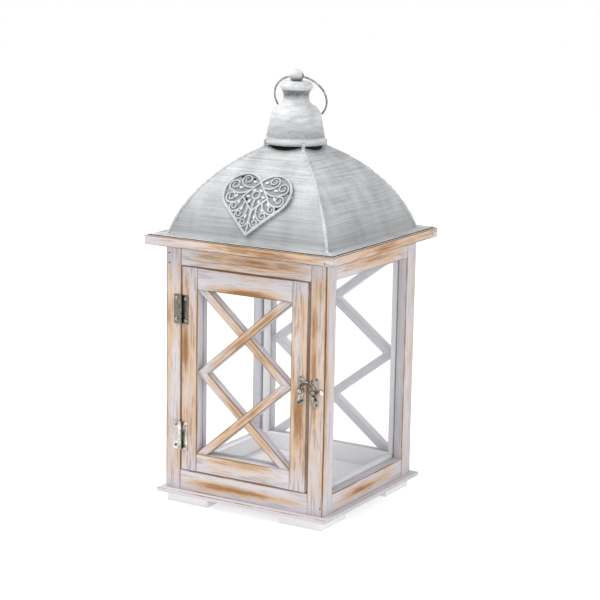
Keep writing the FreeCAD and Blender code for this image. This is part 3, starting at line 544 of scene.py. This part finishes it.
def solid_copy(node):
    """Copy of a CAD node as a bmesh: its solids closed but not joined, and their flat faces whole again."""
    bm = bmesh.new()
    bm.from_mesh(frame["nodes"][node].data)
    for solid in closed_solids(bm):
        apart = bmesh.ops.split(bm, geom=solid)["geom"]
        verts = [item for item in apart if isinstance(item, bmesh.types.BMVert)]
        bmesh.ops.remove_doubles(bm, verts=verts, dist=MERGE * MM)
    bmesh.ops.dissolve_limit(bm, angle_limit=math.radians(FLAT_ANGLE), verts=bm.verts, edges=bm.edges)
    return bm


def soften(bm, width, angle=30, segments=2):
    """Rounds the edges that are sharper than angle."""
    edges = [edge for edge in bm.edges if len(edge.link_faces) == 2
             and edge.calc_face_angle() > math.radians(angle)]
    bmesh.ops.bevel(bm, geom=edges, offset=width * MM, offset_type="OFFSET", affect="EDGES",
                    segments=segments, profile=0.5, material=-1, clamp_overlap=True)


def make_piece(name, bm, material, body, smooth_angle=40):
    """Object from a bmesh, smooth up to an angle, riding on a body."""
    bmesh.ops.recalc_face_normals(bm, faces=bm.faces)
    mesh = bpy.data.meshes.new(name)
    bm.to_mesh(mesh)
    bm.free()
    mesh.materials.append(material)
    mesh.shade_smooth()
    mesh.set_sharp_from_angle(angle=math.radians(smooth_angle))
    piece = bpy.data.objects.new(name, mesh)
    scene.collection.objects.link(piece)
    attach(piece, body)
    return piece


def dress_node(node, bm, material, smooth_angle=40):
    """Piece that stands for one CAD node."""
    piece = make_piece(node + "_dressed", bm, material, BODY_OF[node], smooth_angle)
    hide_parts(node)
    return piece


# Wood

def separate_boards(bm):
    """Lists of faces that hang together, one for each board of the piece."""
    left = set(bm.faces)
    boards = []
    while left:
        front = [left.pop()]
        board = []
        while front:
            face = front.pop()
            board.append(face)
            near = {other for edge in face.edges for other in edge.link_faces} & left
            left -= near
            front += near
        boards.append(board)
    return sorted(boards, key=lambda faces: min(vert.co[:] for face in faces for vert in face.verts))


def facing(face):
    """Size of a face, counted mostly by how far it looks out from the lantern's middle."""
    out = face.calc_center_median()
    out.z = 0
    lean = face.normal.dot(out.normalized()) if out.length else 0
    return face.calc_area() * (FACING_ANY + max(lean, 0) + FACING_UP * face.normal.z)


def mark_boards(bm, settings, seed):
    """Stores each board's own coordinates, its brown zone, wear and seed, for its grain."""
    wear, strength, zone_along, zone_across, zone_length, zone_width = settings
    layers = bm.verts.layers
    board, half = layers.float_vector.new("board"), layers.float_vector.new("board_half")
    zone = layers.float_vector.new("board_zone")
    board_wear, board_seed = layers.float.new("board_wear"), layers.float.new("board_seed")
    bm.normal_update()
    for index, faces in enumerate(separate_boards(bm)):
        depth = max(faces, key=facing).normal.copy()
        edges = {edge for face in faces for edge in face.edges}
        ends = max(edges, key=lambda edge: edge.calc_length()).verts
        along = (ends[1].co - ends[0].co).normalized()
        if max(along, key=abs) < 0:
            along.negate()
        axes = Matrix((along, depth.cross(along), depth))
        verts = {vert for face in faces for vert in face.verts}
        places = {vert: axes @ vert.co for vert in verts}
        low = Vector([min(place[i] for place in places.values()) for i in range(3)])
        high = Vector([max(place[i] for place in places.values()) for i in range(3)])
        for vert, place in places.items():
            here = place - (low + high) / 2
            vert[board] = here
            vert[half] = (high - low) / 2
            vert[zone] = ((here.x / MM - zone_along) / zone_length, (here.y / MM - zone_across) / zone_width,
                          strength)
            vert[board_wear] = wear
            vert[board_seed] = seed + BOARD_SEED * index


def wooden_pieces():
    """Every board and bead, its edges eased and its grain marked."""
    for number, node in enumerate(sorted(WOOD_NODES)):
        bm = solid_copy(node)
        soften(bm, BOARD_EDGE)
        mark_boards(bm, BOARDS.get(node, PAINTED), NODE_SEED * number)
        dress_node(node, bm, WOOD)


# Roof, cap and heart

def spun_cap():
    """Cap turned smooth from the section of the CAD cap, painted black inside as shade."""
    section = solid_copy("chimney_cap")
    spare = [vert for vert in section.verts if vert.co.x < 0 or abs(vert.co.y) > SECTION_DEPTH * MM]
    bmesh.ops.delete(section, geom=spare, context="VERTS")

    # The level faces have no edge of their own in the section, so its open ends are joined at each level
    ends = sorted((vert for vert in section.verts if len(vert.link_edges) == 1), key=lambda vert: vert.co.z)
    for pair in zip(ends[::2], ends[1::2]):
        section.edges.new(pair)
    bmesh.ops.spin(section, geom=section.verts[:] + section.edges[:], cent=(0, 0, 0), axis=(0, 0, 1),
                   angle=2 * math.pi, steps=CAP_STEPS, use_merge=True)
    bmesh.ops.remove_doubles(section, verts=section.verts, dist=MERGE * MM)
    bmesh.ops.recalc_face_normals(section, faces=section.faces)
    # Faces that look inward get the dark iron, painted shade in the cap's hollow
    for face in section.faces:
        middle = face.calc_center_median()
        lean = face.normal.x * middle.x + face.normal.y * middle.y
        face.material_index = 1 if lean < CAP_INSIDE_LEAN * middle.xy.length else 0
    cap = dress_node("chimney_cap", section, CAP_PAINT)
    cap.data.materials.append(IRON_AND_SHADE)


def knob():
    """Turned knob with the hole of the ring through it, painted dark as shade."""
    bm = solid_copy("knob")
    hole, axis = Vector(RING_JOINT["pos_m"]), Vector(RING_JOINT["axis"]).normalized()
    # The faces of the ring's hole get the dark iron as painted shade
    for face in bm.faces:
        reach = max((vert.co - hole).cross(axis).length for vert in face.verts)
        face.material_index = 1 if reach < KNOB_HOLE_RADIUS * MM else 0
    dress_node("knob", bm, KNOB_PAINT, smooth_angle=50).data.materials.append(IRON_AND_SHADE)


def wire_ring():
    """Carrying ring spun as round wire about the CAD ring's centre."""
    places = [vert.co for vert in frame["nodes"]["carry_ring"].data.vertices]
    centre = sum(places, Vector()) / len(places)
    hole = Vector(RING_JOINT["pos_m"])
    away = centre - hole
    across = Vector(RING_JOINT["axis"]).cross(away).normalized()
    turn = Matrix((away.normalized(), across, away.normalized().cross(across))).transposed().to_4x4()
    bm = bmesh.new()
    bmesh.ops.create_circle(bm, segments=RING_WIRE_STEPS, radius=RING_WIRE_RADIUS * MM,
                            matrix=Matrix.Translation(hole) @ turn)
    bmesh.ops.spin(bm, geom=bm.verts[:] + bm.edges[:], cent=centre, axis=across, angle=2 * math.pi,
                   steps=RING_STEPS, use_merge=True)
    bmesh.ops.remove_doubles(bm, verts=bm.verts, dist=MERGE * MM)
    dress_node("carry_ring", bm, STEEL, smooth_angle=80)


def tube(name, points, radius, material, closed=False, rough=0.0):
    """Bead along points in millimetres, its thickness uneven by the share rough."""
    curve = bpy.data.curves.new(name, "CURVE")
    curve.dimensions = "3D"
    curve.bevel_depth = radius * MM
    curve.bevel_resolution = 2
    curve.use_fill_caps = True
    line = curve.splines.new("POLY")
    line.points.add(len(points) - 1)
    line.use_cyclic_u = closed
    for point, place in zip(line.points, points):
        point.co = (*(Vector(place) * MM), 1)
        point.radius = 1 + rough * noise.noise(Vector(place) * LUMPS_PER_MM)
    bm = bmesh.new()
    bm.from_mesh(bpy.data.meshes.new_from_object(bpy.data.objects.new(name + "_line", curve)))
    piece = make_piece(name, bm, material, "lantern_case", smooth_angle=60)


def roof_height(out):
    """Height of the roof's face at a distance out from the axis."""
    return ROOF_ARC_HEIGHT + math.sqrt(ROOF_ARC_RADIUS ** 2 - (out + ROOF_ARC_BACK) ** 2)


def roof_trim():
    """Rough solder along the four ridges, a light hem round the flange and a dark line of painted shadow under it.
    """
    top = CAP_LIP_RADIUS / math.sqrt(2)
    foot = roof_height(ROOF_FOOT)
    for side_x, side_y, name in RIDGES:
        outs = [top + (ROOF_FOOT - top) * step / SEAM_POINTS for step in range(SEAM_POINTS + 1)]
        line = [(side_x * out, side_y * out, roof_height(out) - SEAM_SINK) for out in outs]
        line.append((side_x * ROOF_EDGE, side_y * ROOF_EDGE, foot - SEAM_SINK))
        tube("ridge_solder_" + name, line, SEAM_RADIUS, SEAM_PAINT,
             rough=SEAM_LUMP_SHARE)
    hem = [(x * ROOF_EDGE, y * ROOF_EDGE, foot - HEM_DROP) for x, y in HEM_CORNERS]
    tube("flange_hem", hem, HEM_RADIUS, SEAM_PAINT, closed=True)
    # A dark line of painted shadow under the hem
    out = ROOF_EDGE + HEM_RADIUS + SHADOW_LINE_RADIUS
    shadow_line = [(x * out, y * out, foot - SHADOW_LINE_DROP) for x, y in HEM_CORNERS]
    tube("flange_shadow_line", shadow_line, SHADOW_LINE_RADIUS, IRON_AND_SHADE, closed=True)


def on_heart(across, up, lift):
    """Place over the front panel of a point of the heart's flat pattern."""
    climb = up - HEART_SIZE.y / 2
    out = math.sqrt((ROOF_ARC_RADIUS + lift) ** 2 - climb ** 2)
    sine, cosine = math.sin(HEART_MID_ANGLE), math.cos(HEART_MID_ANGLE)
    return Vector((across, ROOF_ARC_BACK + climb * sine - out * cosine,
                   ROOF_ARC_HEIGHT + climb * cosine + out * sine)) * MM


def in_heart(across, up):
    """Whether a point lies within the inset outline of the heart."""
    if math.dist((abs(across), up), HEART_LOBE) < HEART_LOBE_RADIUS - HEART_SHEET_INSET:
        return True
    side = up * math.sin(HEART_POINT) - abs(across) * math.cos(HEART_POINT)
    return up < HEART_TANGENT_HEIGHT and side > HEART_SHEET_INSET


def heart_sheet(name, lift, holes, material):
    """Thin sheet within the heart's outline, cut away at the holes."""
    bm = bmesh.new()
    bmesh.ops.create_grid(bm, x_segments=HEART_SHEET_CELLS, y_segments=HEART_SHEET_CELLS, size=1.0)
    for vert in bm.verts:
        vert.co = (vert.co.x * HEART_SIZE.x, (vert.co.y + 1) / 2 * HEART_SIZE.y, 0)
    spare = []
    for face in bm.faces:
        middle = face.calc_center_median().xy
        if not in_heart(*middle) or any(math.dist(middle, hole[:2]) < hole[2] for hole in holes):
            spare.append(face)
    bmesh.ops.delete(bm, geom=spare, context="FACES")
    raised = bmesh.ops.extrude_face_region(bm, geom=bm.faces[:], use_keep_orig=True)["geom"]
    front = {item for item in raised if isinstance(item, bmesh.types.BMVert)}
    for vert in bm.verts:
        vert.co = on_heart(vert.co.x, vert.co.y, lift + (HEART_SHEET if vert in front else 0))
    make_piece(name, bm, material, "lantern_case")


def heart_leaves():
    """Small raised leaves between the scrolls, mirrored about the heart's middle."""
    bm = bmesh.new()
    for across, up, slope in HEART_LEAVES:
        for hand in (1, -1):
            middle = Vector((hand * across * HEART_SIZE.x, up * HEART_SIZE.y, HEART_GROUND_LIFT))
            angle = math.radians(slope)
            along = Vector((hand * math.cos(angle), math.sin(angle), 0)) * (LEAF_LENGTH / 2)
            wide = Vector((-along.y, along.x, 0)).normalized() * LEAF_HALF_WIDTH
            tail, shoulder = LEAF_TAIL * along, LEAF_SHOULDER * along
            rim = [-along, tail + wide, shoulder + wide, along, shoulder - wide, tail - wide]
            leaf = bm.faces.new([bm.verts.new(middle + point) for point in rim])
            raised = bmesh.ops.extrude_face_region(bm, geom=[leaf], use_keep_orig=True)["geom"]
            top = [item for item in raised if isinstance(item, bmesh.types.BMVert)]
            bmesh.ops.scale(bm, vec=(LEAF_TAPER, LEAF_TAPER, 1), space=Matrix.Translation(-middle),
                            verts=top)
            bmesh.ops.translate(bm, vec=(0, 0, LEAF_LIFT - HEART_GROUND_LIFT), verts=top)
    for vert in bm.verts:
        vert.co = on_heart(*vert.co)
    make_piece("heart_leaves", bm, LEAF_PAINT, "lantern_case", smooth_angle=30)


def heart():
    """Cast heart on its thin pierced ground, over a black sheet of painted shade."""
    dress_node("heart_ornament", solid_copy("heart_ornament"), HEART_PAINT)
    heart_leaves()
    heart_sheet("heart_ground", HEART_GROUND_LIFT, HEART_HOLES, GROUND_PAINT)
    # A black sheet under the ground, painted shade seen through the holes
    heart_sheet("heart_shade_sheet", HEART_SHADE_SHEET_LIFT, [], IRON_AND_SHADE)


def roof_pieces():
    """Roof panels and the cap's tabs, then what sits on them."""
    for node in ROOF_NODES:
        dress_node(node, solid_copy(node), ROOF_PAINT, smooth_angle=25)
    dress_node("cap_tabs", solid_copy("cap_tabs"), SEAM_PAINT)
    knob()
    spun_cap()
    wire_ring()
    roof_trim()
    heart()


# Hinges, latch, screws, nails and panes

def hinges():
    """Two butt hinges, the upper one dull and the lower one bright."""
    for node in HINGE_NODES:
        bm = solid_copy(node)
        soften(bm, HARDWARE_EDGE, HARDWARE_CORNER, segments=1)
        for face in bm.faces:
            face.material_index = 1 if face.calc_center_median().z < HINGE_DIVIDE * MM else 0
        dress_node(node, bm, DARK_NICKEL).data.materials.append(BRIGHT_NICKEL)


def latch():
    """Hook and plates with dark faces and bright worn edges."""
    for node, edge, face_finish, edge_finish in (
            ("latch_plate", HARDWARE_EDGE, ANTIQUE_NICKEL, WORN_NICKEL),
            ("strike_plate", HARDWARE_EDGE, ANTIQUE_NICKEL, WORN_NICKEL),
            ("latch_hook", HOOK_EDGE, TARNISHED_NICKEL, POLISHED_NICKEL)):
        bm = solid_copy(node)
        soften(bm, edge, HARDWARE_CORNER)
        bm.normal_update()
        for face in bm.faces:
            face.material_index = 0 if face.normal.y < PLATE_FRONT_LEAN else 1
        dress_node(node, bm, face_finish).data.materials.append(edge_finish)


def screw(name, places, body, material):
    """Slotted screw heads on a front face, at places in millimetres."""
    bm = bmesh.new()
    radius, crown_radius = SCREW_RADIUS * MM, SCREW_CROWN * SCREW_RADIUS * MM
    disc = {"cap_ends": True, "segments": SCREW_STEPS, "radius1": radius, "depth": SCREW_HEIGHT * MM}
    for number, place in enumerate(places):
        turn = Matrix.Translation(Vector(place) * MM) @ Matrix.Rotation(math.pi / 2, 4, "X")
        turn = turn @ Matrix.Rotation(SCREW_TURN * number, 4, "Z")
        crown = turn @ Matrix.Translation((0, 0, SCREW_CROWN_LIFT * SCREW_HEIGHT * MM))
        bmesh.ops.create_cone(bm, radius2=radius, matrix=turn, **disc)
        for hand in (1, -1):
            half = bmesh.ops.create_cone(bm, radius2=crown_radius, matrix=crown, **disc)["verts"]
            faces = {face for vert in half for face in vert.link_faces}
            edges = {edge for face in faces for edge in face.edges}
            cut = bmesh.ops.bisect_plane(bm, geom=[*half, *edges, *faces], clear_inner=True,
                                         plane_co=turn @ Vector((0, hand * SCREW_SLOT / 2 * MM, 0)),
                                         plane_no=turn.to_3x3() @ Vector((0, hand, 0)))["geom_cut"]
            bmesh.ops.holes_fill(bm, edges=[item for item in cut if isinstance(item, bmesh.types.BMEdge)])
    piece = make_piece(name, bm, material, body)


def screws():
    """Two screws in each hinge leaf and in each plate."""
    for body, hand in (("lantern_case", -1), ("door", 1)):
        for hinge, levels in HINGE_SCREW_LEVELS.items():
            places = [(HINGE_AXIS + hand * HINGE_SCREW_OFFSET, HINGE_FACE, level) for level in levels]
            screw("_".join((hinge, "hinge_screws", body)), places, body, ANTIQUE_NICKEL)
        places = [(PLATE_SCREWS[body], PLATE_FACE, level) for level in PLATE_SCREW_LEVELS]
        screw("plate_screws_" + body, places, body, ANTIQUE_NICKEL)


def nail_heads():
    """Dark nail heads, almost flush with the wood."""
    bm = bmesh.new()
    for place, axis in NAILS:
        turn = Matrix.Rotation(math.pi / 2, 4, "X" if axis == "Y" else "Y")
        bmesh.ops.create_cone(bm, cap_ends=True, segments=NAIL_STEPS, radius1=NAIL_RADIUS * MM,
                              radius2=NAIL_RADIUS * MM, depth=NAIL_HEIGHT * MM,
                              matrix=Matrix.Translation(Vector(place) * MM) @ turn)
    nails = make_piece("nail_heads", bm, IRON_AND_SHADE, "lantern_case")


def panes():
    """The CAD panes keep their shape and become glass."""
    for node in PANE_NODES:
        pane = frame["nodes"][node].data
        pane.materials.clear()
        pane.materials.append(GLASS)


# Floor, light and camera

def white_where_seen(tree, strength):
    """Strength 1 for what the camera, gloss and glass see, and the given strength for light on things."""
    path = add(tree, "LightPath", {}).outputs
    seen = path["Is Camera Ray"]
    for ray in ("Is Glossy Ray", "Is Transmission Ray"):
        seen = add(tree, "Math", {0: seen, 1: path[ray]}, operation="MAXIMUM").outputs[0]
    return add(tree, "MapRange", {"Value": seen, "To Min": strength, "To Max": 1.0}).outputs[0]


def floor():
    """Plain pale floor that is white to the camera and keeps the soft shadow under the lantern."""
    material, tree, shader = new_material("pale_floor")
    glow = white_where_seen(tree, FLOOR_LIGHT)
    share = add(tree, "Math", {0: glow, 1: FLOOR_GLOW}, operation="MULTIPLY").outputs[0]
    tree.links.new(share, shader.inputs["Emission Strength"])
    shader.inputs["Emission Color"].default_value = (1, 1, 1, 1)
    shader.inputs["Base Color"].default_value = linear("#EDEDED")
    shader.inputs["Roughness"].default_value = 0.9
    shader.inputs["Specular IOR Level"].default_value = 0.0
    bm = bmesh.new()
    bmesh.ops.create_grid(bm, x_segments=1, y_segments=1, size=FLOOR_HALF_SIZE)
    mesh = bpy.data.meshes.new("floor")
    bm.to_mesh(mesh)
    bm.free()
    mesh.materials.append(material)
    ground = bpy.data.objects.new("floor", mesh)
    ground.location.z = -FLOOR_DROP
    scene.collection.objects.link(ground)


def lamp(name, place, size, watts):
    """Square soft lamp that looks at the middle of the lantern."""
    light = bpy.data.lights.new(name, "AREA")
    light.energy = watts
    light.size = size
    lamp_object = bpy.data.objects.new(name, light)
    lamp_object.location = place
    aim = VIEW_TARGET * MM - Vector(place)
    lamp_object.rotation_euler = aim.to_track_quat("-Z", "Y").to_euler()
    scene.collection.objects.link(lamp_object)


def studio():
    """White room with two soft lamps."""
    floor()
    world = bpy.data.worlds.new("studio")
    scene.world = world
    world.use_nodes = True
    tree = world.node_tree
    background = tree.nodes["Background"]
    background.inputs["Color"].default_value = (1, 1, 1, 1)
    tree.links.new(white_where_seen(tree, WORLD_LIGHT), background.inputs["Strength"])
    for name, (place, size, watts) in LAMPS.items():
        lamp(name, place, size, watts)
    scene.view_settings.view_transform = "Standard"


def camera():
    """Camera of the photograph, turned about its target and rolled a little."""
    azimuth, elevation, roll = [math.radians(value) for value in (VIEW_AZIMUTH, VIEW_ELEVATION, VIEW_ROLL)]
    back = Vector((math.sin(azimuth) * math.cos(elevation), -math.cos(azimuth) * math.cos(elevation),
                   math.sin(elevation)))
    right = Vector((0, 0, 1)).cross(back).normalized()
    turn = Matrix((right, back.cross(right), back)).transposed().to_4x4()
    data = bpy.data.cameras.new("photo_camera")
    data.sensor_width = SENSOR
    data.lens = VIEW_FOCAL_PIXELS / VIEW_FRAME_PIXELS * SENSOR
    view = bpy.data.objects.new("photo_camera", data)
    place = (VIEW_TARGET + back * VIEW_DISTANCE) * MM
    view.matrix_world = Matrix.Translation(place) @ turn @ Matrix.Rotation(roll, 4, "Z")
    scene.collection.objects.link(view)
    scene.camera = view


wooden_pieces()
roof_pieces()
hinges()
latch()
screws()
nail_heads()
panes()
studio()
camera()
